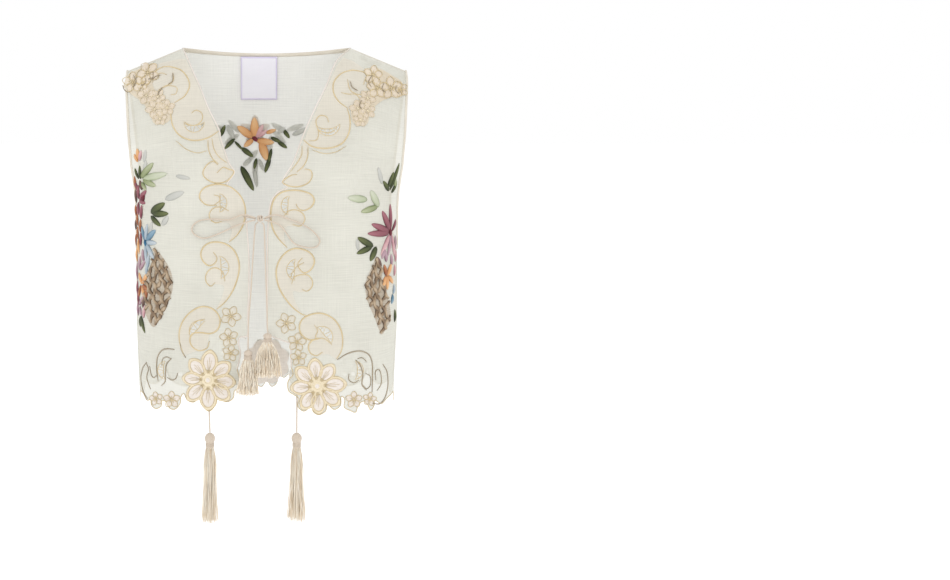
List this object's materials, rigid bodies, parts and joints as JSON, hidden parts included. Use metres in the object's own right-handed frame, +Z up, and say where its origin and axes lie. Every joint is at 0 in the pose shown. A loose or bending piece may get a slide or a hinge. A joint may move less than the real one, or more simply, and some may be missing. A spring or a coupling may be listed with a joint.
{
  "type": "embroidered waistcoat",
  "caption": "Sleeveless open-fronted waistcoat of sheer cloth with cutwork scrolls, scalloped hem, ribbon-work flowers, a tied cord bow and hanging tassels.",
  "frame": {"origin": "middle of the neck at the height of the shoulder seams' neck ends, above the middle of the trunk space", "axes": "+Z up along the worn height, -Y towards the front with the tie, +X towards the wearer's left"},
  "size_m": [0.3848, 0.2313, 0.6176],
  "materials": {
    "cloth": "sheer",
    "edging": "satin",
    "cord": "silky",
    "label_cloth": "woven satin"
  },
  "bodies": {
    "root": {"front_left": "cloth", "front_right": "cloth", "back": "cloth", "armhole_binding_left": "edging", "armhole_binding_right": "edging", "neck_binding": "edging", "label": "label_cloth", "knot": "cord", "tie_left": "cord", "tie_right": "cord", "bow_loop_left": "cord", "bow_loop_right": "cord", "bow_end_left": "cord", "bow_end_right": "cord", "hem_cord_left": "cord", "hem_cord_right": "cord", "tassel_bow_left": "cord", "tassel_bow_right": "cord", "tassel_hem_left": "cord", "tassel_hem_right": "cord"}
  },
  "joints": []
}
